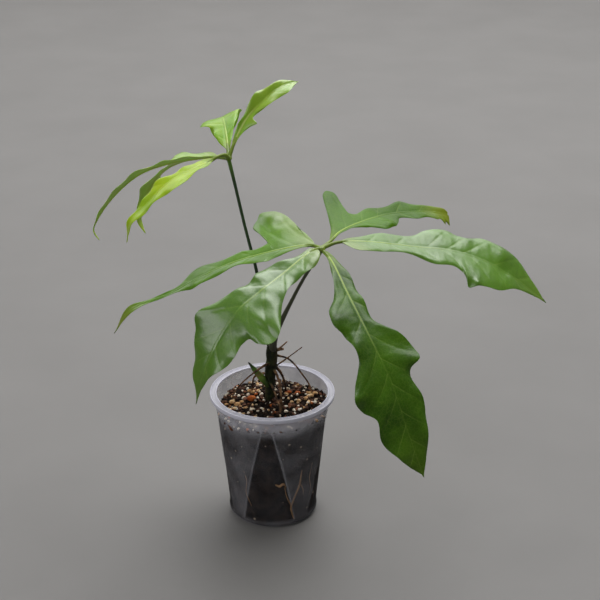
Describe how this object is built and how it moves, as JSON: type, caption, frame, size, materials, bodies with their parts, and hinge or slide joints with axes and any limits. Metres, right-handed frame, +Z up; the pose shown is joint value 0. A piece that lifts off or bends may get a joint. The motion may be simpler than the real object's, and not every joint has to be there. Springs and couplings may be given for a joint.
{
  "type": "potted anthurium clavigerum",
  "caption": "Young climbing aroid with two palmate leaves of long waved leaflets, growing in a clear round nursery pot.",
  "frame": {"origin": "centre of the pot's underside, on the surface it stands on", "axes": "+Z up, -Y towards the front of the plant, +X to the right seen from the front"},
  "size_m": [0.3273, 0.2419, 0.3098],
  "materials": {
    "clear_plastic": "satin",
    "potting_mix": "matte",
    "stem": "matte",
    "shoot": "satin",
    "petiole": "satin",
    "older_leaf": "satin",
    "young_leaf": "satin"
  },
  "bodies": {
    "root": {"nursery_pot": "clear_plastic", "potting_mix": "potting_mix", "stem_with_aerial_roots": "stem", "new_shoot": "shoot", "petiole_older_leaf": "petiole", "blade_older_leaf": "older_leaf", "petiole_young_leaf": "petiole", "blade_young_leaf": "young_leaf"}
  },
  "joints": []
}
